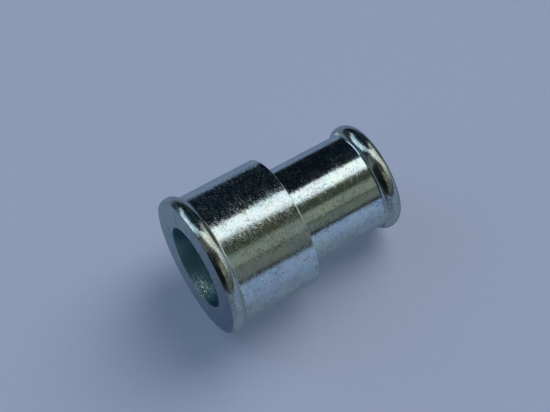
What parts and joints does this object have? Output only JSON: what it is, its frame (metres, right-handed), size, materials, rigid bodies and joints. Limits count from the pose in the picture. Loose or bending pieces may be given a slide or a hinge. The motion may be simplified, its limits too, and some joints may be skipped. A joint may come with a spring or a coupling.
{
  "type": "hose reducer",
  "caption": "Stepped steel tube with a rounded retaining bead at each end, for joining a wide hose to a narrower one through one straight bore.",
  "frame": {"origin": "centre of the big end's flat face, on which the part stands", "axes": "+Z along the bore, from the big end to the small end; X and Y are any two directions across it"},
  "size_m": [0.0274, 0.0274, 0.0384],
  "materials": {
    "zinc_plated_steel": "bright zinc plate over turned steel, finely scuffed"
  },
  "bodies": {
    "root": {"reducer_body": "zinc_plated_steel"}
  },
  "joints": []
}
